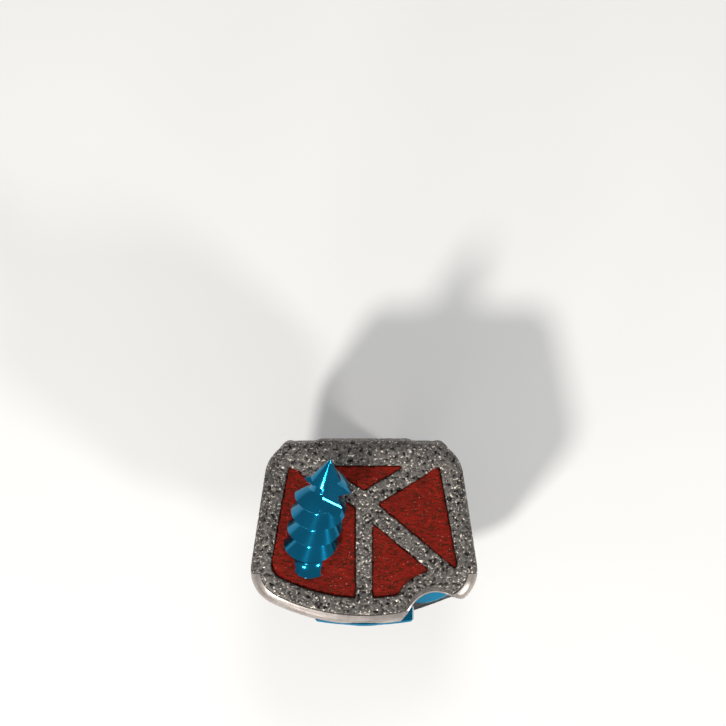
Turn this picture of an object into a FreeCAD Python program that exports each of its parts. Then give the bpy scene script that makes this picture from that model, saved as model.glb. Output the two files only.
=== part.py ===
import FreeCAD, Part
import math
import os

from FreeCAD import Matrix, Vector

os.makedirs("parts", exist_ok=True)

# Frame: origin at the middle of the cage, +Z up (superior), -Y front (anterior), millimetres.
# The cage looks the same after half a turn about the Y axis, so the upper and the lower
# screw, their tunnels and the outer grafts are made once and turned for the other side.

# Cage outline, seen from above
front_y = -5.9
front_radius = 14.0
front_corner_radius = 2.4
rear_y = 6.05
rear_corner_radius = 2.3
side_station_y = -2.6
side_station_half_width = 7.56
side_taper = 0.15

# Cage height and lordosis, seen from the side
mid_height = 6.8
lordosis_deg = 7.0
rim_bevel = 0.45
rim_second_bevel = 0.16
rim_zone = 1.2
rim_edge_least = 0.7
lead_in_depth = 0.35
lead_in_height = 0.7

# Walls of the graft windows
front_wall = 1.75
side_wall = 1.3
side_wall_growth = 0.03
rear_wall = 1.5
window_front_corner_radius = 1.0
window_rear_corner_radius = 0.3

# Struts between the windows, a little below the faces so that the ring bears the load
junction_y = 2.0
rear_junction_y = 2.2
strut_recess = 0.1
middle_strut_width = 1.1
rear_strut_width = 1.2
rear_strut_end_in = 3.64
corner_strut_width = 1.15
corner_strut_end_in = 1.36
corner_strut_end_y = -3.15
corner_strut_underside = 0.75

# Rear pad and corner posts
pad_half_width = 3.3
pad_height = 0.15
pad_slope = 0.35
post_radius = 0.62
post_in = 2.56
post_y = 5.45
post_drop = 0.4

# Screw line: where it leaves through the upper face, in from the side and back from the middle
exit_in = 4.06
exit_y = -0.5
screw_rise_deg = 45.0
screw_swing_deg = 13.5

# Bone screw
head_top = -4.3
head_radius = 2.2
head_rim = 0.6
head_rim_chamfer = 0.12
neck_radius = 1.3
root_radius = 1.2
crest_radius = 1.75
thread_start = -1.9
pitch = 1.655
crest_phase = 0.41
crest_half_width = 0.05
thread_foot_radius = 1.0
thread_foot_half_width = 0.66
envelope_room = 0.2
tip_end = 8.33
tip_cone_length = 1.88
tip_cone_half_deg = 27.0
tip_crest_length = 2.5
flute_length = 4.0
flute_crease_length = 2.8
flute_floor = 0.35
flute_floor_at_tip = 0.03
flute_wall = 0.08
flute_turn_deg = 242.0
lobe_circle_radius = 1.05
lobe_cut_radius = 0.34
lobe_cut_place = 1.22
lobe_count = 6
drive_depth = 0.95

# Screw tunnels in the cage
tunnel_radius = 3.3
counterbore_radius = 2.6
thread_passage = 0.12
seat_clearance = 0.02
seat_wall = 0.95

# Lock: a bar that turns on a stem, over the screw heads at rest
lock_reach = 3.35
lock_hub_radius = 1.55
lock_wing_half_root = 1.25
lock_wing_half_tip = 0.85
lock_front_y = -6.2
lock_front_radius = 22.0
lock_rear_y = -4.95
lock_edge_chamfer = 0.12
lock_pocket_gap = 0.09
lock_floor_gap = 0.05
stem_radius = 0.9
stem_length = 2.3
stem_gap = 0.03
stem_end_gap = 0.15
groove_depth = 0.3
groove_place = 1.35
hex_flats = 1.5
hex_depth = 0.9
boss_radius = 1.75
boss_wall = 0.5

# Pin that rides in the groove of the stem
pin_radius = 0.25
pin_length = 2.4
pin_groove_gap = 0.04

# Graft
graft_recess = 0.22
graft_gap = 0.02

# Room past the cage for cutting tools
far = 30.0

half_height = mid_height / 2
face_slope = math.tan(math.radians(lordosis_deg / 2))

# Places that follow the width of the cage
exit_x = exit_in - side_station_half_width
post_x = side_station_half_width - post_in
rear_strut_end_x = side_station_half_width - rear_strut_end_in
corner_strut_end_x = side_station_half_width - corner_strut_end_in


def half_turn(shape):
    """The same shape for the other side, after half a turn about the Y axis."""
    turned = shape.copy()
    turned.rotate(Vector(0, 0, 0), Vector(0, 1, 0), 180)
    return turned


def fuse_all(shapes):
    """One shape from several that meet, with its split faces joined."""
    return shapes[0].multiFuse(shapes[1:]).removeSplitter()


def prism(points, along):
    """A solid from a closed flat outline of corners, pushed along a vector."""
    wire = Part.makePolygon(points + [points[0]])
    return Part.Face(wire).extrude(along)


def face_z(y):
    """Height of the upper face at a place along the Y axis."""
    return half_height - face_slope * y


def side_profile(inset, lead_in):
    """The cage seen from the side: a wedge with its rear edges cut back."""
    reach_front = -far
    reach_rear = rear_y + pad_height + far * (0 if lead_in else 1)
    upper = [Vector(-far, reach_front, face_z(reach_front) - inset)]
    if lead_in:
        corner_y = rear_y - lead_in_depth
        low_z = face_z(corner_y) - lead_in_height
        upper.append(Vector(-far, corner_y, face_z(corner_y) - inset))
        upper.append(Vector(-far, rear_y + pad_height, low_z - inset))
    else:
        upper.append(Vector(-far, reach_rear, face_z(reach_rear) - inset))
    lower = [Vector(p.x, p.y, -p.z) for p in reversed(upper)]
    return prism(upper + lower, Vector(2 * far, 0, 0))


def upright_edges(shape, radius_test):
    """Upright edges of a prism whose corner passes a test on its place."""
    found = []
    for edge in shape.Edges:
        ends = [v.Point for v in edge.Vertexes]
        if len(ends) != 2 or (ends[0] - ends[1]).Length < far:
            continue
        if radius_test(ends[0]):
            found.append(edge)
    return found


def rounded_block(front, radius, rear, station_half, taper, front_round, rear_round):
    """A tall block with a curved front, tapering sides and rounded upright corners."""

    def side_x(y):
        return station_half - taper * (y - side_station_y)

    corners = [
        Vector(side_x(-far), -far, -far),
        Vector(side_x(rear), rear, -far),
        Vector(-side_x(rear), rear, -far),
        Vector(-side_x(-far), -far, -far),
    ]
    block = prism(corners, Vector(0, 0, 2 * far))
    bow = Part.makeCylinder(radius, 2 * far, Vector(0, front + radius, -far))
    block = block.common(bow)
    block = block.makeFillet(front_round, upright_edges(block, lambda p: p.y < 0))
    return block.makeFillet(rear_round, upright_edges(block, lambda p: p.y > rear - 0.01))


def outer_block():
    return rounded_block(
        front_y,
        front_radius,
        rear_y,
        side_station_half_width,
        side_taper,
        front_corner_radius,
        rear_corner_radius,
    )


def inner_block():
    return rounded_block(
        front_y + front_wall,
        front_radius - front_wall,
        rear_y - rear_wall,
        side_station_half_width - side_wall,
        side_taper + side_wall_growth,
        window_front_corner_radius,
        window_rear_corner_radius,
    )


def bar(start, end, width, low_z, high_z):
    """A straight strut between two places in plan, from one height to another."""
    run = end - start
    across = Vector(-run.y, run.x, 0).normalize() * (width / 2)
    base = Vector(0, 0, low_z)
    corners = [start + across + base, end + across + base, end - across + base, start - across + base]
    return prism(corners, Vector(0, 0, high_z - low_z))


def screw_frame():
    """Places a shape drawn about the Z axis, tip up, on the upper screw line."""
    rise = math.radians(screw_rise_deg)
    swing = math.radians(screw_swing_deg)
    ahead = Vector(
        math.cos(rise) * math.sin(swing),
        math.cos(rise) * math.cos(swing),
        math.sin(rise),
    )
    across = Vector(math.cos(swing), -math.sin(swing), 0)
    third = ahead.cross(across)
    return Matrix(
        across.x, third.x, ahead.x, exit_x,
        across.y, third.y, ahead.y, exit_y,
        across.z, third.z, ahead.z, face_z(exit_y),
        0, 0, 0, 1,
    )


def on_screw_line(shape):
    placed = shape.copy()
    placed.transformShape(screw_frame())
    return placed


def turned_solid(points):
    """A solid of revolution about the Z axis from (radius, height) corners."""
    wire = Part.makePolygon([Vector(r, 0, z) for r, z in points + [points[0]]])
    return Part.Face(wire).revolve(Vector(0, 0, 0), Vector(0, 0, 1), 360)


def thread_ridge():
    """The helical ridge, longer than the screw at both ends; the envelope trims it."""
    length = tip_end + pitch - thread_start
    helix = Part.makeHelix(pitch, length, root_radius)
    flank = [
        (thread_foot_radius, thread_foot_half_width),
        (crest_radius, crest_half_width),
    ]
    profile = [Vector(r, 0, -half) for r, half in flank]
    profile += [Vector(r, 0, half) for r, half in reversed(flank)]
    wire = Part.makePolygon(profile + [profile[0]])
    ridge = Part.Wire(helix).makePipeShell([wire], True, True)
    ridge.translate(Vector(0, 0, thread_start))
    turn = 360 * (thread_start - crest_phase) / pitch
    ridge.rotate(Vector(0, 0, 0), Vector(0, 0, 1), turn)
    return ridge


def lobed_recess():
    """The six-lobed drive recess, sunk into the head."""
    recess = Part.makeCylinder(lobe_circle_radius, drive_depth)
    for i in range(lobe_count):
        angle = 2 * math.pi * i / lobe_count
        place = Vector(lobe_cut_place * math.cos(angle), lobe_cut_place * math.sin(angle), 0)
        recess = recess.cut(Part.makeCylinder(lobe_cut_radius, drive_depth, place))
    recess.translate(Vector(0, 0, head_top))
    return recess


def head_under():
    """Where the cone under the head meets the neck."""
    return head_top + head_rim + head_radius - neck_radius


def head_points():
    """Corners of the head, from its middle down to the neck."""
    return [
        (0, head_top),
        (head_radius - head_rim_chamfer, head_top),
        (head_radius, head_top + head_rim_chamfer),
        (head_radius, head_top + head_rim),
        (neck_radius, head_under()),
    ]


def flute_cut():
    """What one flute takes away: an upright wall and a floor that runs in towards the point."""
    turn = math.radians(flute_turn_deg)
    out = Vector(math.cos(turn), math.sin(turn), 0)
    along = Vector(-out.y, out.x, 0)

    def corner(depth, length):
        return out * depth - along * far + Vector(0, 0, tip_end - length)

    outline = [
        corner(flute_floor, flute_length),
        corner(flute_floor, flute_crease_length),
        corner(flute_floor_at_tip, 0),
        corner(far, 0),
        corner(far, flute_length),
    ]
    side = Part.makeBox(far, 2 * far, far, Vector(flute_wall, -far, 0))
    return prism(outline, along * (2 * far)).common(side)


def bone_screw():
    """Upper screw: flat countersunk head, deep thread, fluted self-drilling tip."""
    past_tip = tip_end + 2 * pitch
    shank_start = head_under() + neck_radius - root_radius
    core = turned_solid(head_points() + [(root_radius, shank_start), (root_radius, past_tip), (0, past_tip)])
    cone_radius = tip_cone_length * math.tan(math.radians(tip_cone_half_deg))
    clear_radius = crest_radius + envelope_room
    envelope = turned_solid(head_points() + [
        (neck_radius, thread_start),
        (clear_radius, thread_start + pitch / 2),
        (clear_radius, tip_end - tip_crest_length),
        (cone_radius, tip_end - tip_cone_length),
        (0, tip_end),
    ])
    screw = core.fuse(thread_ridge()).common(envelope)
    flute = flute_cut()
    other = flute.copy()
    other.rotate(Vector(0, 0, 0), Vector(0, 0, 1), 180)
    screw = screw.cut(flute).cut(other)
    screw = screw.cut(lobed_recess())
    return on_screw_line(screw)


def tunnel_tube():
    """The metal round the screw, from the front face to just past the head's seat."""
    end = head_top + head_rim + seat_wall
    tube = Part.makeCylinder(tunnel_radius, far, Vector(0, 0, end - far))
    return on_screw_line(tube)


def tunnel_bore():
    """Counterbore, cone seat and passage, cut through the tube."""
    passage_radius = crest_radius + thread_passage
    ledge = head_top + head_rim
    seat_top = head_radius + seat_clearance
    bore = turned_solid([
        (0, ledge - far),
        (counterbore_radius, ledge - far),
        (counterbore_radius, ledge),
        (seat_top, ledge),
        (passage_radius, ledge + seat_top - passage_radius),
        (passage_radius, ledge + seat_wall + pitch),
        (0, ledge + seat_wall + pitch),
    ])
    return on_screw_line(bore)


def along_y(radius, start_y, end_y, x=0.0, z=0.0):
    """A cylinder that runs from front to rear."""
    return Part.makeCylinder(radius, end_y - start_y, Vector(x, start_y, z), Vector(0, 1, 0))


def stem_end_y():
    return lock_rear_y + stem_length


def groove_y():
    return lock_rear_y + groove_place


def pin_x():
    return stem_radius - groove_depth + pin_radius + pin_groove_gap


def bevel_edges(shell):
    """The long edges on both sides of the first bevel, above and below."""
    found = []
    for edge in shell.Edges:
        level = abs(edge.BoundBox.Center.z) > half_height - rim_zone
        flat = edge.BoundBox.ZLength < half_height
        if level and flat and len(edge.Vertexes) == 2 and edge.Length > rim_edge_least:
            found.append(edge)
    return found


def cage_shell():
    """The wedge with twice-bevelled rims and its rear edges cut back, before its windows are cut."""
    shell = outer_block().common(side_profile(0, False))
    rim = [edge for edge in shell.Edges if edge.BoundBox.ZLength < half_height]
    shell = shell.makeChamfer(rim_bevel, rim)
    shell = shell.makeChamfer(rim_second_bevel, bevel_edges(shell))
    return shell.common(side_profile(0, True))


def cage_blank():
    """Ring, struts, screw tubes, lock boss, pad and posts, before any bore is cut."""
    shell = cage_shell()
    inner = inner_block()
    junction = Vector(0, junction_y, 0)
    rear_junction = Vector(0, rear_junction_y, 0)
    rear_left = Vector(-rear_strut_end_x, rear_y - rear_wall, 0)
    rear_right = Vector(rear_strut_end_x, rear_y - rear_wall, 0)
    front_middle = Vector(0, front_y + front_wall / 2, 0)
    front_right = Vector(corner_strut_end_x, corner_strut_end_y, 0)
    corner_strut = bar(junction, front_right, corner_strut_width, corner_strut_underside, far)
    tube = tunnel_tube()
    boss_end = stem_end_y() + stem_end_gap + boss_wall
    inside = fuse_all([
        bar(front_middle, junction, middle_strut_width, -far, far),
        bar(rear_junction, rear_left, rear_strut_width, -far, far),
        bar(rear_junction, rear_right, rear_strut_width, -far, far),
        corner_strut,
        half_turn(corner_strut),
        tube,
        half_turn(tube),
        along_y(boss_radius, front_y + front_wall / 2, boss_end),
    ]).common(side_profile(strut_recess, False))
    cage = shell.cut(inner).fuse(shell.common(inner).common(inside)).removeSplitter()
    return fuse_all([cage, rear_pad()] + corner_posts())


def cage_body(blank):
    """The printed cage, with its screw tunnels and the seat of the lock."""
    cage = blank
    for tool in cage_cutters():
        cage = cage.cut(tool)
    return cage.removeSplitter()


def rear_pad():
    """The slightly raised middle of the rear wall."""
    half = pad_half_width
    back = rear_y + pad_height
    root = rear_y - rear_wall / 2
    corners = [
        Vector(-half, root, -far),
        Vector(half, root, -far),
        Vector(half, rear_y, -far),
        Vector(half - pad_slope, back, -far),
        Vector(pad_slope - half, back, -far),
        Vector(-half, rear_y, -far),
    ]
    return prism(corners, Vector(0, 0, 2 * far)).common(side_profile(0, True))


def corner_posts():
    """Smooth upright posts let into the rear corners, a little short of the faces."""
    height = 2 * (face_z(post_y) - post_drop)
    posts = []
    for x in (-post_x, post_x):
        posts.append(Part.makeCylinder(post_radius, height, Vector(x, post_y, -height / 2)))
    return posts


def cage_cutters():
    """What is cut out of the cage once it is whole."""
    bore = tunnel_bore()
    pocket = along_y(lock_reach + lock_pocket_gap, -far, lock_rear_y + lock_floor_gap)
    stem_bore = along_y(stem_radius + stem_gap, front_y, stem_end_y() + stem_end_gap)
    return [bore, half_turn(bore), pocket, stem_bore, lock_pin()]


def lock_pin():
    """Upright pin pressed into the boss, tangent to the groove of the stem."""
    base = Vector(pin_x(), groove_y(), -pin_length / 2)
    return Part.makeCylinder(pin_radius, pin_length, base)


def lock_cam():
    """The bar with its stem; its front follows the bow of the cage."""
    thickness = lock_rear_y - lock_front_y
    wing_face = [
        Vector(-lock_reach, lock_front_y, -lock_wing_half_tip),
        Vector(0, lock_front_y, -lock_wing_half_root),
        Vector(lock_reach, lock_front_y, -lock_wing_half_tip),
        Vector(lock_reach, lock_front_y, lock_wing_half_tip),
        Vector(0, lock_front_y, lock_wing_half_root),
        Vector(-lock_reach, lock_front_y, lock_wing_half_tip),
    ]
    plate = prism(wing_face, Vector(0, thickness, 0))
    plate = plate.common(along_y(lock_reach, lock_front_y, lock_rear_y))
    plate = plate.fuse(along_y(lock_hub_radius, lock_front_y, lock_rear_y)).removeSplitter()
    bow_centre = Vector(0, lock_front_y + lock_front_radius, -far)
    plate = plate.common(Part.makeCylinder(lock_front_radius, 2 * far, bow_centre))
    front_edges = [e for e in plate.Edges if e.BoundBox.YMax < lock_rear_y - thickness / 2]
    plate = plate.makeChamfer(lock_edge_chamfer, front_edges)
    stem = along_y(stem_radius, lock_rear_y, stem_end_y())
    half_groove = pin_radius + pin_groove_gap
    ring = along_y(stem_radius + stem_gap, groove_y() - half_groove, groove_y() + half_groove)
    ring = ring.cut(along_y(stem_radius - groove_depth, groove_y() - half_groove, groove_y() + half_groove))
    cam = plate.fuse(stem).cut(ring)
    corner = hex_flats / 2 / math.cos(math.pi / 6)
    hexagon = []
    for i in range(6):
        angle = math.radians(60 * i)
        hexagon.append(Vector(corner * math.cos(angle), -far, corner * math.sin(angle)))
    socket = prism(hexagon, Vector(0, far + lock_front_y + hex_depth, 0))
    return cam.cut(socket).removeSplitter()


def screw_room():
    """A plain bore through the graft, just clear of the thread."""
    bore = Part.makeCylinder(crest_radius + graft_gap, 2 * far, Vector(0, 0, -far))
    return on_screw_line(bore)


def grafts(blank):
    """Bone graft that fills the windows round the screws: left, right and rear."""
    filled = inner_block().common(side_profile(graft_recess, False)).cut(blank)
    bore = screw_room()
    filled = filled.cut(bore).cut(half_turn(bore))
    pieces = sorted(filled.Solids, key=lambda solid: solid.Volume)
    rear, one, other = pieces[-3:]
    left, right = sorted((one, other), key=lambda solid: solid.CenterOfMass.x)
    return left, right, rear


def main():
    blank = cage_blank()
    upper = bone_screw()
    lower = half_turn(upper)
    left, right, rear = grafts(blank)
    made = {
        "cage_body": cage_body(blank),
        "upper_screw": upper,
        "lower_screw": lower,
        "lock_cam": lock_cam(),
        "lock_pin": lock_pin(),
        "left_graft": left,
        "right_graft": right,
        "rear_graft": rear,
    }
    for name, shape in made.items():
        solids = shape.Solids
        print(name, len(solids), shape.isValid(), round(shape.Volume, 3))
        shape.exportStep("parts/" + name + ".step")


main()
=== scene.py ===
import math

import bmesh
import bpy
from mathutils import Matrix, Vector, noise
from mathutils.bvhtree import BVHTree


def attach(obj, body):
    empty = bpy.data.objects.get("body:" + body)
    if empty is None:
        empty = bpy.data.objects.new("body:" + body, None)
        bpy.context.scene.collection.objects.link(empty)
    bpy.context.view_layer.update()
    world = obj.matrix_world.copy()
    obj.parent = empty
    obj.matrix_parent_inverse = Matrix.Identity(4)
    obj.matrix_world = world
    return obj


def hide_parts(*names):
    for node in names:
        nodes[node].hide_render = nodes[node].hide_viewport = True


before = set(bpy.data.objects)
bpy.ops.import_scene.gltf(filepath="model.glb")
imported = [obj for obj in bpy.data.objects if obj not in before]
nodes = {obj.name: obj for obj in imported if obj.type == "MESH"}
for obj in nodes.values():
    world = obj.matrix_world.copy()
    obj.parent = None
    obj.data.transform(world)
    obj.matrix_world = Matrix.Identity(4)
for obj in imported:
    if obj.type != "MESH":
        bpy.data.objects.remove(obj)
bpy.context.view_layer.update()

# Pieces are shaped in millimetres and taken to metres when they are finished.
millimetre = 0.001
merge_gap = 0.0005
cut_gap = 0.0001
cutter_reach = 4

# Cage
mid_height = 6.8
face_slope = math.tan(math.radians(3.5))
smooth_end_y = -2.55
front_centre_y = 8.1
inner_front_radius = 12.5
inner_side_limit = 6.7
window_recess_z = 0.8
lip_width = 0.15
lip_depth = 0.35
lip_side_limit = 6.1
lip_front_limit = 13.6
lip_sink = 0.08
lip_steps = 240
strut_recess = 0.1
strut_foot_outline = [(4.97, 4.75), (4.97, 4.50), (3.70, 3.86), (3.45, 4.75)]
counterbore_radius = 2.6
pocket_radius = 3.44
pocket_floor_y = -4.9
facet_slack = 0.02

# Open lattice and smooth skin
voxel = 0.075
pore_depth = 0.17
pore_seed = 1
pore_ease = 0.12
skin = 0.13
skin_sink = 0.07
skin_reach = skin_sink * 1.6

# Screw line, with the tip's side positive
exit_point = Vector((-3.5, -0.5, mid_height / 2 + 0.5 * face_slope))
screw_rise = math.radians(45.0)
screw_swing = math.radians(13.5)

# Screw
head_top = -4.3
head_radius = 2.2
head_rim = 0.6
head_rim_chamfer = 0.12
head_overlap = 0.5
neck_radius = 1.3
neck_inset = 0.02
neck_run_in = 1.6
root_radius = 1.14
root_at_tip = 0.76
core_thins_from_tip = 3.9
core_thin_before_cone = 0.15
crest_radius = 1.75
thread_start = -1.9
pitch = 1.655
thread_root_start = 0.53
thread_root_end = 0.86
thread_root_fillet = 0.04
thread_root_rise = 1.2
thread_run_out = 1.7
thread_steps_a_turn = 84
thread_shares = [
    0, 0.02, 0.1, 0.2, 0.3, 0.4, 0.46, 0.485, 0.5, 0.51, 0.52, 0.53, 0.54, 0.55, 0.565,
    0.585, 0.62, 0.7, 0.8, thread_root_end, 0.875, 0.9, 0.94, 0.98, 1,
]
last_full_turn = -1.14
crest_phase = 0.41
tip_end = 8.33
tip_cone_length = 1.88
tip_cone_half = math.radians(27.0)
tip_crest_length = 2.45
flute_crease_length = 3.28
flute_slope = 0.1143
flute_floor_at_tip = 0.03
flute_bevel_width = 0.11
flute_bevel_rise = 0.044
flute_bevel_slant = 0.6
flute_ramp_width = 0.8
flute_ramp_rise = 1.15
flute_wall = 0.08
flute_turn = math.radians(288.0)
drive_depth = 0.95
lobe_circle_radius = 1.05
lobe_cut_radius = 0.34
lobe_cut_place = 1.22
lobe_count = 6
socket_steps = 144

# Graft
graft_recess = 0.22
graft_voxel = 0.09
graft_plug_radius = 1.86
graft_plug_length = 12
graft_plug_start = -2.35
graft_grain_height = 0.07
graft_shrink = 0.03

# Studio
floor_size = 600
floor_z = -9.35
sky_colour = (0.92, 0.96, 1, 1)
sky_strength = 0.34
lamp_tint = (1, 0.98, 0.95)
camera_place = (-0.00007, 0.01133, 0.1634)
camera_lens = 120.5
sensor_width = 36
clip_start = 0.01
clip_end = 5

# Angles in degrees over which an edge stays sharp
sharp_skin = 28
sharp_screw = 15

half_turn = Matrix.Rotation(math.pi, 4, "Y")

# noise_vector takes its offsets from the clock unless a seed is set.
noise.seed_set(pore_seed)


def screw_line():
    """Places a shape drawn about the Z axis, tip up, on the upper screw's line."""
    ahead = Vector((
        math.cos(screw_rise) * math.sin(screw_swing),
        math.cos(screw_rise) * math.cos(screw_swing),
        math.sin(screw_rise),
    ))
    across = Vector((math.cos(screw_swing), -math.sin(screw_swing), 0))
    third = ahead.cross(across)
    turn = Matrix((across, third, ahead)).transposed().to_4x4()
    return Matrix.Translation(exit_point) @ turn


upper_line = screw_line()
lower_line = half_turn @ upper_line


# ---------------------------------------------------------------- shader expressions

class Value:
    """A socket of a finish; sums and products of it add Math nodes."""

    def __init__(self, finish, socket):
        self.finish = finish
        self.socket = socket

    def math(self, operation, first, second=0.0, clamp=False):
        settings = {"operation": operation, "use_clamp": clamp}
        return self.finish.node("ShaderNodeMath", settings, {0: first, 1: second})

    def __add__(self, other):
        return self.math("ADD", self, other)

    def __radd__(self, other):
        return self.math("ADD", other, self)

    def __sub__(self, other):
        return self.math("SUBTRACT", self, other)

    def __rsub__(self, other):
        return self.math("SUBTRACT", other, self)

    def __mul__(self, other):
        return self.math("MULTIPLY", self, other)

    def __rmul__(self, other):
        return self.math("MULTIPLY", other, self)

    def clamped(self):
        return self.math("ADD", self, 0.0, clamp=True)


class Finish:
    """A material, with one method that adds any node."""

    def __init__(self, name):
        self.material = bpy.data.materials.new(name)
        self.material.use_nodes = True
        self.tree = self.material.node_tree
        self.shader = self.tree.nodes["Principled BSDF"]
        self.place = self.node("ShaderNodeTexCoord", {}, {}, "Object")

    def node(self, kind, settings, sockets, output=0):
        made = self.tree.nodes.new(kind)
        for name, value in settings.items():
            if name == "stops":
                ramp = made.color_ramp
                while len(ramp.elements) < len(value):
                    ramp.elements.new(0.5)
                for element, (where, colour) in zip(ramp.elements, value):
                    element.position = where
                    element.color = (*colour, 1)
            else:
                setattr(made, name, value)
        for name, value in sockets.items():
            self.plug(made.inputs[name], value)
        return Value(self, made.outputs[output])

    def plug(self, socket, value):
        if isinstance(value, Value):
            self.tree.links.new(value.socket, socket)
        elif isinstance(value, tuple) and len(value) == 3 and socket.type == "RGBA":
            socket.default_value = (*value, 1)
        else:
            socket.default_value = value

    def set(self, **sockets):
        for name, value in sockets.items():
            self.plug(self.shader.inputs[name.replace("_", " ")], value)
        return self

    def noise(self, size, detail=2.0, roughness=0.5, place=None, distortion=0.0):
        """Soft noise whose patches are about the size, in millimetres."""
        return self.node("ShaderNodeTexNoise", {}, {
            "Vector": place or self.place,
            "Scale": 1 / (size * millimetre),
            "Detail": detail,
            "Roughness": roughness,
            "Distortion": distortion,
        })

    def ramp(self, factor, stops):
        return self.node("ShaderNodeValToRGB", {"stops": stops}, {"Fac": factor})

    def step(self, value, low, high):
        """0 under low and 1 over high, with a soft run between them."""
        return self.node("ShaderNodeMapRange", {"interpolation_type": "SMOOTHSTEP"}, {
            "Value": value, "From Min": low, "From Max": high,
        })

    def mix(self, factor, first, second):
        settings = {"data_type": "RGBA"}
        return self.node("ShaderNodeMix", settings, {0: factor, 6: first, 7: second}, 2)

    def attribute(self, name):
        return self.node("ShaderNodeAttribute", {"attribute_name": name}, {}, "Fac")

    def bump(self, height, strength, distance):
        """Height in parts of the distance, which is in millimetres."""
        return self.node("ShaderNodeBump", {}, {
            "Height": height, "Strength": strength, "Distance": distance * millimetre,
        })


def linear(red, green, blue):
    """A colour that is given as it shows on a screen, 0 to 255."""
    return tuple(
        (part / 255 / 12.92) if part < 11 else ((part / 255 + 0.055) / 1.055) ** 2.4
        for part in (red, green, blue)
    )


# ---------------------------------------------------------------- mesh helpers

def cad_copy(node):
    """The CAD node's mesh in millimetres, with its loose triangles merged."""
    work = bmesh.new()
    work.from_mesh(nodes[node].data)
    bmesh.ops.scale(work, vec=Vector((1, 1, 1)) / millimetre, verts=work.verts)
    bmesh.ops.remove_doubles(work, verts=work.verts, dist=merge_gap)
    return work


def to_object(work, name):
    mesh = bpy.data.meshes.new(name)
    work.to_mesh(mesh)
    work.free()
    made = bpy.data.objects.new(name, mesh)
    bpy.context.scene.collection.objects.link(made)
    return made


def settle(made):
    """Takes the piece's modifiers into its mesh."""
    graph = bpy.context.evaluated_depsgraph_get()
    mesh = bpy.data.meshes.new_from_object(made.evaluated_get(graph))
    made.modifiers.clear()
    made.data = mesh
    return made


def modify(made, kind, **settings):
    modifier = made.modifiers.new(kind.title(), kind)
    for name, value in settings.items():
        setattr(modifier, name, value)
    return settle(made)


def to_bmesh(made):
    """The piece's mesh for more work; the object goes."""
    work = bmesh.new()
    work.from_mesh(made.data)
    bpy.data.objects.remove(made)
    return work


def finish_piece(made, finish, replaced=(), sharp=None, body="cage"):
    """Takes a piece to metres, shades it and puts it on its body."""
    made.data.transform(Matrix.Scale(millimetre, 4))
    made.data.materials.clear()
    made.data.materials.append(finish.material)
    made.data.shade_smooth()
    if sharp is not None:
        made.data.set_sharp_from_angle(angle=math.radians(sharp))
    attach(made, body)
    if replaced:
        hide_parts(*replaced)
    return made


def spin_line(points, steps=96):
    """A closed turned shape from an outline of (radius, height) points, open at the axis."""
    work = bmesh.new()
    verts = [work.verts.new((r, 0, z)) for r, z in points]
    for one, other in zip(verts, verts[1:]):
        work.edges.new((one, other))
    bmesh.ops.spin(
        work, geom=work.verts[:] + work.edges[:], cent=(0, 0, 0), axis=(0, 0, 1),
        angle=2 * math.pi, steps=steps, use_merge=True,
    )
    bmesh.ops.remove_doubles(work, verts=work.verts, dist=merge_gap)
    bmesh.ops.recalc_face_normals(work, faces=work.faces)
    return work


def combine(made, tool, operation="DIFFERENCE"):
    """Takes the tool from the piece, or adds it, and removes the tool."""
    modify(made, "BOOLEAN", object=tool, operation=operation, solver="EXACT")
    bpy.data.objects.remove(tool)
    return made


def face_z(y, inset=0.0):
    """Height of the cage's upper face at y, or of a plane under it."""
    return mid_height / 2 - inset - face_slope * y


def everything(work):
    return work.verts[:] + work.edges[:] + work.faces[:]


def add_to(work, other, name):
    """Adds the other working mesh to the first and frees the other."""
    mesh = bpy.data.meshes.new(name)
    other.to_mesh(mesh)
    other.free()
    work.from_mesh(mesh)


def fill_open_rims(work):
    """Closes each open rim with a face of its own."""
    bmesh.ops.holes_fill(work, edges=[edge for edge in work.edges if edge.is_boundary])
    bmesh.ops.recalc_face_normals(work, faces=work.faces)


# ---------------------------------------------------------------- cage: lattice and smooth skin

def screw_recess_side(face):
    """1 or -1 on a wall, ledge or seat of the upper or lower screw's counterbore, else 0."""
    for line, side in ((upper_line, 1), (lower_line, -1)):
        back = line.inverted()
        normal = back.to_3x3() @ face.normal
        corners = [back @ vert.co for vert in face.verts]
        centre = sum(corners, Vector()) / len(corners)
        reach = max(corner.xy.length for corner in corners)
        if reach > counterbore_radius + facet_slack or centre.z > 0:
            continue
        if centre.xy.normalized().dot(normal.xy) < -0.5 or normal.z < -0.5:
            return side
    return 0


def is_smooth(face):
    """True on the cage's machined faces: front wall, screw recesses and lock seat."""
    centre = face.calc_center_median()
    outward = Vector((face.normal.x, face.normal.y, 0))
    from_front_centre = math.hypot(centre.x, centre.y - front_centre_y)
    inside = abs(centre.x) < inner_side_limit and from_front_centre < inner_front_radius
    side = screw_recess_side(face)
    if side:
        return not (inside and centre.z * side > window_recess_z)
    in_pocket = math.hypot(centre.x, centre.z) < pocket_radius + facet_slack
    if in_pocket and centre.y < pocket_floor_y + facet_slack:
        return True
    if centre.y > smooth_end_y or outward.length < 0.15:
        return False
    return not inside


def cage_skin():
    """The smooth faces of the cage as a thin closed skin."""
    work = cad_copy("cage_body")
    bmesh.ops.bisect_plane(
        work, geom=everything(work), dist=cut_gap,
        plane_co=(0, smooth_end_y, 0), plane_no=(0, 1, 0),
    )
    rough = [face for face in work.faces if not is_smooth(face)]
    bmesh.ops.delete(work, geom=rough, context="FACES")
    return work


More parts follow.
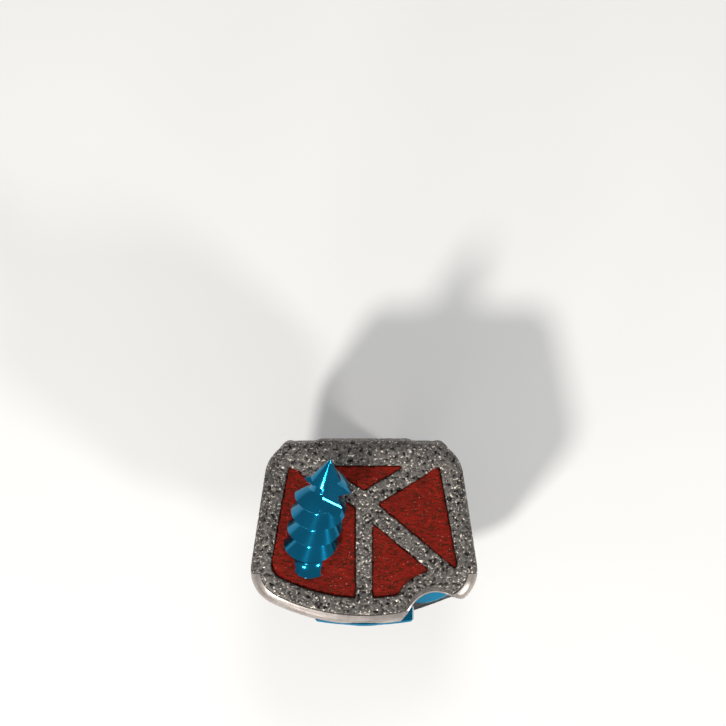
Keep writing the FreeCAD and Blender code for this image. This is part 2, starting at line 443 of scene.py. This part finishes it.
def lip_station(line, side, angle):
    """The lip's four corners at one angle round the recess, or None past the lip's ends."""
    ahead = line.to_3x3() @ Vector((0, 0, 1))
    corners = []
    for radius in (counterbore_radius, counterbore_radius + lip_width):
        base = line @ Vector((radius * math.cos(angle), radius * math.sin(angle), 0))
        reach = mid_height / 2 - face_slope * base.y - side * base.z
        corners.append(base + ahead * (reach / (side * ahead.z + face_slope * ahead.y)))
    for corner in corners:
        if corner.y >= smooth_end_y or abs(corner.x) >= lip_side_limit:
            return None
        if math.hypot(corner.x, corner.y - front_centre_y) >= lip_front_limit:
            return None
    return corners + [corner + ahead * lip_depth for corner in reversed(corners)]


def recess_lip(line, side, name):
    """The smooth lip round a screw recess, along the curve where the recess meets its face."""
    steps = lip_steps
    stations = [lip_station(line, side, 2 * math.pi * step / steps) for step in range(steps)]
    starts = [step for step in range(steps) if stations[step] and not stations[step - 1]]
    runs = []
    for start in starts:
        run = []
        while stations[(start + len(run)) % steps] and len(run) < steps:
            run.append(stations[(start + len(run)) % steps])
        runs.append(run)
    work = bmesh.new()
    rows = [[work.verts.new(place) for place in station] for station in max(runs, key=len)]
    for one, other in zip(rows, rows[1:]):
        for edge in range(4):
            work.faces.new((one[edge], one[(edge + 1) % 4], other[(edge + 1) % 4], other[edge]))
    work.faces.new(rows[0])
    work.faces.new(rows[-1])
    bmesh.ops.recalc_face_normals(work, faces=work.faces)
    return to_object(work, name)


def pore(place):
    """Depth of the sintered lattice's pores at a place, 0 to 1."""
    bent = place + 0.12 * noise.noise_vector(place * 2.3)
    coarse = noise.noise(bent * 3.6)
    fine = noise.noise(place * 7.7 + Vector((7.3, 1.9, 4.4)))
    depth = (0.7 * coarse + 0.6 * fine - 0.02) / 0.5
    return min(max(depth, 0.0), 1.0)


def strut_foot(work, side):
    """A wedge that carries a rear strut on into the corner of its window."""
    rows = []
    for level in (-1, 1):
        rows.append([
            work.verts.new((side * x, y, level * face_z(y, strut_recess)))
            for x, y in strut_foot_outline
        ])
    work.faces.new(rows[0])
    work.faces.new(rows[1])
    for one in range(4):
        two = (one + 1) % 4
        work.faces.new((rows[0][one], rows[0][two], rows[1][two], rows[1][one]))


def cage_lattice(skin_tree, lip_tree):
    """The whole cage as an open-pored surface, sunk a little under the smooth skin."""
    solid = cad_copy("cage_body")
    feet = bmesh.new()
    for side in (-1, 1):
        strut_foot(feet, side)
    bmesh.ops.recalc_face_normals(feet, faces=feet.faces)
    add_to(solid, feet, "feet")
    made = to_object(solid, "lattice")
    modify(made, "REMESH", mode="VOXEL", voxel_size=voxel)
    modify(made, "SMOOTH", factor=0.5, iterations=4)
    work = to_bmesh(made)
    layer = work.verts.layers.float.new("pore")
    work.normal_update()
    for vert in work.verts:
        _, skin_normal, _, gap = skin_tree.find_nearest(vert.co)
        if gap < skin_reach:
            vert.co -= skin_normal * skin_sink
            continue
        lip_gap = lip_tree.find_nearest(vert.co)[3]
        if lip_gap < lip_sink:
            vert.co -= vert.normal * lip_sink
            continue
        ease = min((gap - skin_reach) / pore_ease, 1.0)
        depth = pore(vert.co)
        # The pore depth is kept for the finish, which paints shade into the deeper pores.
        vert[layer] = depth
        vert.co -= vert.normal * (pore_depth * depth * ease)
    return work


def split_at_middle(work, upper):
    """The half above or below mid-height, closed where it is cut."""
    half = work.copy()
    bmesh.ops.bisect_plane(
        half, geom=everything(half), dist=cut_gap,
        plane_co=(0, 0, 0), plane_no=(0, 0, 1), clear_inner=upper, clear_outer=not upper,
    )
    rim = [edge for edge in half.edges if edge.is_boundary]
    bmesh.ops.triangle_fill(half, edges=rim, use_beauty=True)
    bmesh.ops.triangulate(half, faces=half.faces[:])
    bmesh.ops.recalc_face_normals(half, faces=half.faces)
    return half


# ---------------------------------------------------------------- screws

def thread_height(share):
    """Height of the thread, 0 to 1: a long flank, the root, then a steep rise to the next crest."""
    left = 1 - share / thread_root_start
    flank = (left + math.sqrt(left ** 2 + thread_root_fillet ** 2)) / 2
    rise = max((share - thread_root_end) / (1 - thread_root_end), 0.0)
    return max(flank, rise ** thread_root_rise)


def core_radius(height):
    """Radius of the core, which thins towards the tip."""
    thin_start = tip_end - core_thins_from_tip
    thin_end = tip_end - tip_cone_length - core_thin_before_cone
    share = min(max((height - thin_start) / (thin_end - thin_start), 0.0), 1.0)
    return root_radius + (root_at_tip - root_radius) * share


def crest_limit(height):
    """Radius of the thread's crest: it runs in at the neck and out before the cone."""
    cone_start = tip_end - tip_cone_length
    cone_radius = tip_cone_length * math.tan(tip_cone_half) - 0.05
    crest_end = tip_end - tip_crest_length
    share = min(max((height - crest_end) / (cone_start - crest_end), 0.0), 1.0)
    run_out = cone_radius + (crest_radius - cone_radius) * (1 - share ** thread_run_out)
    run_in = neck_radius - neck_inset + max(height - thread_start, 0.0) * neck_run_in
    return min(run_out, run_in)


def threaded_rod():
    """The thread: one pitch of its outline run up the screw, with both ends closed flat."""
    rod_end = tip_end - tip_cone_length + 0.02
    head_end = head_top + head_rim + head_radius - neck_radius + 0.3
    first = math.floor((thread_start - crest_phase) / pitch) - 1
    turns = math.ceil((rod_end - thread_start) / pitch) + 3
    work = bmesh.new()
    start = crest_phase + first * pitch
    reach = crest_radius - root_radius
    verts = [
        work.verts.new((root_radius + reach * thread_height(share), 0, start + share * pitch))
        for share in thread_shares
    ]
    for one, other in zip(verts, verts[1:]):
        work.edges.new((one, other))
    bmesh.ops.spin(
        work, geom=work.verts[:] + work.edges[:], cent=(0, 0, 0), axis=(0, 0, 1),
        dvec=(0, 0, pitch / thread_steps_a_turn),
        angle=2 * math.pi * turns, steps=thread_steps_a_turn * turns,
    )
    bmesh.ops.remove_doubles(work, verts=work.verts, dist=merge_gap)
    for vert in work.verts:
        vert.co.z = min(max(vert.co.z, head_end), rod_end)
        old = vert.co.xy.length
        share = (old - root_radius) / reach
        around = math.atan2(vert.co.y, vert.co.x) / (2 * math.pi) % 1
        if (vert.co.z - crest_phase) / pitch - around < last_full_turn:
            share = max(share, 0.0) ** 2
        core = core_radius(vert.co.z)
        if vert.co.z < thread_start:
            core = neck_radius - neck_inset
        radius = core + max(crest_limit(vert.co.z) - core, 0.0) * share
        if vert.co.z > rod_end - merge_gap:
            radius = core
        vert.co.x *= radius / old
        vert.co.y *= radius / old
    bmesh.ops.remove_doubles(work, verts=work.verts, dist=merge_gap)
    bmesh.ops.dissolve_degenerate(work, edges=work.edges, dist=merge_gap)
    fill_open_rims(work)
    return work


def tip_cone():
    """The cone of the point, undercut where the thread begins."""
    start = tip_end - tip_cone_length
    radius = tip_cone_length * math.tan(tip_cone_half)
    return spin_line([
        (0, tip_end), (0.012, tip_end - 0.02),
        (radius - 0.012, start + 0.024), (radius, start), (radius - 0.02, start - 0.02),
        (root_at_tip - 0.04, start - 0.16), (root_at_tip - 0.06, start - 0.3), (0, start - 0.3),
    ])


def screw_head():
    """The head: a short rim with a small chamfer, and a cone down to the neck."""
    under = head_top + head_rim + head_radius - neck_radius
    chamfer = head_rim_chamfer
    return spin_line([
        (0, head_top), (head_radius - chamfer, head_top),
        (head_radius - 0.3 * chamfer, head_top + 0.3 * chamfer),
        (head_radius, head_top + chamfer), (head_radius, head_top + head_rim),
        (neck_radius, under), (neck_radius, under + head_overlap), (0, under + head_overlap),
    ])


def lobed_socket():
    """The drive's recess as a solid: a round hole with six lobes of metal left in it."""
    work = bmesh.new()
    around = []
    for step in range(socket_steps):
        angle = 2 * math.pi * step / socket_steps
        way = Vector((math.cos(angle), math.sin(angle)))
        radius = lobe_circle_radius
        for lobe in range(lobe_count):
            turn = 2 * math.pi * lobe / lobe_count
            middle = Vector((math.cos(turn), math.sin(turn))) * lobe_cut_place
            along = way.dot(middle)
            aside = middle.length_squared - along ** 2
            if along > 0 and aside < lobe_cut_radius ** 2:
                radius = min(radius, along - math.sqrt(lobe_cut_radius ** 2 - aside))
        around.append(work.verts.new((way.x * radius, way.y * radius, head_top - head_overlap)))
    floor = work.faces.new(around)
    grown = bmesh.ops.extrude_face_region(work, geom=[floor])
    top = [part for part in grown["geom"] if isinstance(part, bmesh.types.BMVert)]
    bmesh.ops.translate(work, vec=(0, 0, drive_depth + head_overlap), verts=top)
    bmesh.ops.recalc_face_normals(work, faces=work.faces)
    return work


def flute():
    """What one flute takes away: an upright wall, and a floor that runs in towards the point."""
    out = Vector((math.cos(flute_turn), math.sin(flute_turn), 0))
    along = Vector((-out.y, out.x, 0))
    work = bmesh.new()
    rows = []
    for aside in (-1.0, 2.0):
        crease = flute_crease_length + flute_bevel_slant * aside
        ramp_start = crease + flute_bevel_width
        ramp_end = ramp_start + flute_ramp_width
        floor = [
            (0, 0), (crease, 0), (ramp_start, flute_bevel_rise),
            (ramp_end, flute_bevel_rise + flute_ramp_rise),
        ]
        outline = [
            (length, flute_floor_at_tip + flute_slope * length + rise) for length, rise in floor
        ]
        outline += [(ramp_end, cutter_reach), (-0.1, cutter_reach)]
        rows.append([
            work.verts.new(out * depth + along * aside + Vector((0, 0, tip_end - length)))
            for length, depth in outline
        ])
    for row in rows:
        work.faces.new(row)
    for one in range(len(rows[0])):
        two = (one + 1) % len(rows[0])
        work.faces.new((rows[0][one], rows[0][two], rows[1][two], rows[1][one]))
    bmesh.ops.bisect_plane(
        work, geom=everything(work), dist=cut_gap,
        plane_co=(flute_wall, 0, 0), plane_no=(-1, 0, 0), clear_outer=True,
    )
    fill_open_rims(work)
    return work


def bone_screw(name):
    """A whole screw about the Z axis, tip up."""
    made = to_object(threaded_rod(), name)
    combine(made, to_object(screw_head(), "head"), "UNION")
    combine(made, to_object(tip_cone(), "cone"), "UNION")
    combine(made, to_object(lobed_socket(), "socket"))
    for turn in (0, math.pi):
        tool = to_object(flute(), "flute")
        tool.data.transform(Matrix.Rotation(turn, 4, "Z"))
        combine(made, tool)
    work = to_bmesh(made)
    fill_open_rims(work)
    return to_object(work, name)


# ---------------------------------------------------------------- graft

def bore_plug(line):
    """The graft that fills the plain bore round a screw, between the two recessed faces."""
    plug = bmesh.new()
    bmesh.ops.create_cone(
        plug, cap_ends=True, segments=64, depth=graft_plug_length,
        radius1=graft_plug_radius, radius2=graft_plug_radius,
    )
    bmesh.ops.transform(plug, matrix=line, verts=plug.verts)
    slab = mid_height / 2 - graft_recess
    planes = [
        ((0, 0, side * slab), Vector((0, face_slope, side)).normalized()) for side in (1, -1)
    ]
    start = line @ Vector((0, 0, graft_plug_start))
    planes.append((start, -(line.to_3x3() @ Vector((0, 0, 1)))))
    for place, outward in planes:
        bmesh.ops.bisect_plane(
            plug, geom=everything(plug), dist=cut_gap,
            plane_co=place, plane_no=outward, clear_outer=True,
        )
    fill_open_rims(plug)
    return plug


def packed_graft(node, line):
    """The graft as packed granules, closed round the screw's thread."""
    work = cad_copy(node)
    if line is not None:
        add_to(work, bore_plug(line), "plug")
    made = to_object(work, node + "_packed")
    modify(made, "REMESH", mode="VOXEL", voxel_size=graft_voxel)
    work = to_bmesh(made)
    work.normal_update()
    layer = work.verts.layers.float.new("grain")
    for vert in work.verts:
        place = vert.co.copy()
        stretched = Vector((place.x * 0.75, place.y * 1.5, place.z))
        coarse = noise.noise(stretched * 3.1 + Vector((3, 5, 8)))
        grain = coarse * 0.6 + noise.noise(place * 6.5) * 0.4
        vert[layer] = grain + 0.5
        vert.co += vert.normal * (graft_grain_height * grain - graft_shrink)
    return to_object(work, node + "_packed")


# ---------------------------------------------------------------- finishes

def lattice_finish():
    """Sintered titanium: dull grains, painted shade in the pores and painted glints on the facets.
    """
    look = Finish("sintered titanium")
    depth = look.attribute("pore")
    grains = look.noise(0.22, 3.0, 0.6)
    patches = look.noise(1.6, 2.0)
    tone = look.ramp(grains * 0.75 + patches * 0.25, [
        (0.30, linear(54, 50, 47)),
        (0.48, linear(94, 89, 85)),
        (0.60, linear(118, 112, 106)),
        (0.74, linear(172, 162, 150)),
    ])
    # Painted shade: deep pores and darker grains are blended towards near-black.
    dark = look.step(depth + 0.5 * (grains - 0.5), 0.1, 1.0)
    colour = look.mix(dark, tone, linear(30, 27, 26))
    # Painted highlight: small near-white glints on the grains, kept off the shaded pores.
    painted_glint = look.step(look.noise(0.15, 1.0), 0.62, 0.70)
    height = look.noise(0.11, 2.0, 0.6)
    look.set(
        Base_Color=look.mix(painted_glint * (1 - dark), colour, linear(232, 222, 208)),
        Metallic=0.55,
        Roughness=(0.34 + 0.3 * grains + 0.2 * dark).clamped(),
        Normal=look.bump(height, 0.55, 0.07),
    )
    return look


def skin_finish():
    """Satin titanium of the machined front."""
    look = Finish("satin titanium")
    cloud = look.noise(0.9, 3.0, 0.55)
    speck = look.noise(0.12, 2.0, 0.6)
    tone = look.ramp(cloud, [
        (0.3, linear(150, 141, 135)),
        (0.7, linear(182, 173, 166)),
    ])
    look.set(
        Base_Color=look.mix(look.step(speck, 0.5, 0.8) * 0.35, tone, linear(120, 112, 106)),
        Metallic=0.6,
        Roughness=0.26 + 0.18 * cloud,
        Normal=look.bump(speck, 0.14, 0.02),
    )
    return look


def blue_finish():
    """Glossy blue anodised titanium."""
    look = Finish("blue anodised titanium")
    cloud = look.noise(1.5, 2.0)
    fine = look.noise(0.15, 2.0)
    tone = look.ramp(cloud, [
        (0.3, linear(0, 112, 150)),
        (0.7, linear(0, 124, 164)),
    ])
    look.set(
        Base_Color=tone,
        Metallic=0.9,
        Roughness=0.13 + 0.05 * fine,
        Normal=look.bump(fine, 0.015, 0.004),
        Coat_Weight=0.2,
        Coat_Roughness=0.06,
    )
    return look


def bare_finish():
    """Bare turned titanium of the hidden pin."""
    look = Finish("bare titanium")
    lines = look.noise(0.1, 2.0)
    look.set(
        Base_Color=look.ramp(lines, [(0.3, linear(150, 146, 142)), (0.7, linear(182, 178, 174))]),
        Metallic=0.9,
        Roughness=0.28 + 0.12 * lines,
        Normal=look.bump(lines, 0.08, 0.01),
    )
    return look


def graft_finish():
    """Moist dark red granules with wavy brown gaps and a few pale specks."""
    look = Finish("packed graft")
    stretch = look.node("ShaderNodeMapping", {}, {
        "Vector": look.place, "Scale": (0.6, 1.7, 1.0), "Rotation": (0, 0, math.radians(-8)),
    })
    waves = look.noise(0.20, 3.0, 0.55, stretch, 0.6)
    fine = look.noise(0.09, 2.0, 0.5, stretch)
    patches = look.noise(1.4, 2.0)
    red = look.ramp(patches, [
        (0.3, linear(112, 15, 6)),
        (0.7, linear(132, 23, 10)),
    ])
    marks = look.step(waves * 0.7 + fine * 0.3, 0.47, 0.57)
    dotted = look.mix(marks * 0.85, red, linear(54, 26, 10))
    speck = look.step(look.noise(0.10, 0.0), 0.79, 0.83)
    look.set(
        Base_Color=look.mix(speck * 0.7, dotted, linear(196, 120, 112)),
        Roughness=0.55 + 0.25 * marks,
        Specular_IOR_Level=0.1,
        Normal=look.bump(1 - waves * 0.8 - fine * 0.2, 0.5, 0.1),
    )
    return look


# ---------------------------------------------------------------- build

lattice_look = lattice_finish()
skin_look = skin_finish()
blue_look = blue_finish()
bare_look = bare_finish()
graft_look = graft_finish()

skin_mesh = cage_skin()
skin_tree = BVHTree.FromBMesh(skin_mesh)
skin_piece = to_object(skin_mesh, "smooth_skin")
modify(skin_piece, "SOLIDIFY", thickness=skin, offset=-1, use_even_offset=False, thickness_clamp=0)
finish_piece(skin_piece, skin_look, sharp=sharp_skin)

# Each face's lip follows the recess of the screw that enters there and leaves on the far side.
lips = bmesh.new()
for name, line, side in (("upper_recess_lip", lower_line, 1), ("lower_recess_lip", upper_line, -1)):
    lip = recess_lip(line, side, name)
    lips.from_mesh(lip.data)
    finish_piece(lip, skin_look, sharp=sharp_skin)

lattice = cage_lattice(skin_tree, BVHTree.FromBMesh(lips))
lips.free()
for name, upper in (("upper_lattice", True), ("lower_lattice", False)):
    half = to_object(split_at_middle(lattice, upper), name)
    finish_piece(half, lattice_look, ["cage_body"] if upper else ())
lattice.free()

for name, line in (("upper_screw", upper_line), ("lower_screw", lower_line)):
    screw = bone_screw(name + "_detailed")
    screw.data.transform(line)
    finish_piece(screw, blue_look, [name], sharp=sharp_screw)

for name, line in (("left_graft", upper_line), ("right_graft", lower_line), ("rear_graft", None)):
    graft = packed_graft(name, line)
    finish_piece(graft, graft_look, [name])

for name, look in (("lock_cam", blue_look), ("lock_pin", bare_look)):
    for slot in nodes[name].material_slots:
        slot.material = look.material


# ---------------------------------------------------------------- floor, light and camera

def lamp(name, place, size, watts, colour=(1, 1, 1)):
    """A round lamp in metres that faces the part."""
    data = bpy.data.lights.new(name, "AREA")
    data.shape = "DISK"
    data.size = size
    data.energy = watts
    data.color = colour
    made = bpy.data.objects.new(name, data)
    made.location = place
    made.rotation_mode = "QUATERNION"
    made.rotation_quaternion = (-Vector(place)).to_track_quat("-Z", "Y")
    bpy.context.scene.collection.objects.link(made)


def pale_floor():
    work = bmesh.new()
    bmesh.ops.create_grid(work, x_segments=1, y_segments=1, size=floor_size)
    bmesh.ops.translate(work, vec=(0, 0, floor_z), verts=work.verts)
    floor = to_object(work, "floor")
    floor.data.transform(Matrix.Scale(millimetre, 4))
    look = Finish("pale floor")
    cloud = look.noise(30.0, 2.0)
    look.set(
        Base_Color=look.ramp(cloud, [(0.3, (0.80, 0.79, 0.77)), (0.7, (0.84, 0.83, 0.81))]),
        Roughness=0.8,
    )
    floor.data.materials.append(look.material)


def sky():
    world = bpy.data.worlds.new("soft studio")
    world.use_nodes = True
    back = world.node_tree.nodes["Background"]
    back.inputs["Color"].default_value = sky_colour
    back.inputs["Strength"].default_value = sky_strength
    bpy.context.scene.world = world


pale_floor()
sky()
lamp("key", (-0.082, -0.108, 0.148), 0.028, 0.30, lamp_tint)
lamp("front", (-0.050, -0.172, 0.055), 0.04, 0.04, lamp_tint)
lamp("side", (0.152, -0.119, 0.097), 0.04, 0.20, lamp_tint)
lamp("back", (0.02, 0.14, 0.16), 0.10, 0.10)

camera_data = bpy.data.cameras.new("camera")
camera_data.sensor_width = sensor_width
camera_data.lens = camera_lens
camera_data.clip_start = clip_start
camera_data.clip_end = clip_end
camera = bpy.data.objects.new("camera", camera_data)
camera.location = camera_place
bpy.context.scene.collection.objects.link(camera)
bpy.context.scene.camera = camera
bpy.context.scene.view_settings.view_transform = "Standard"
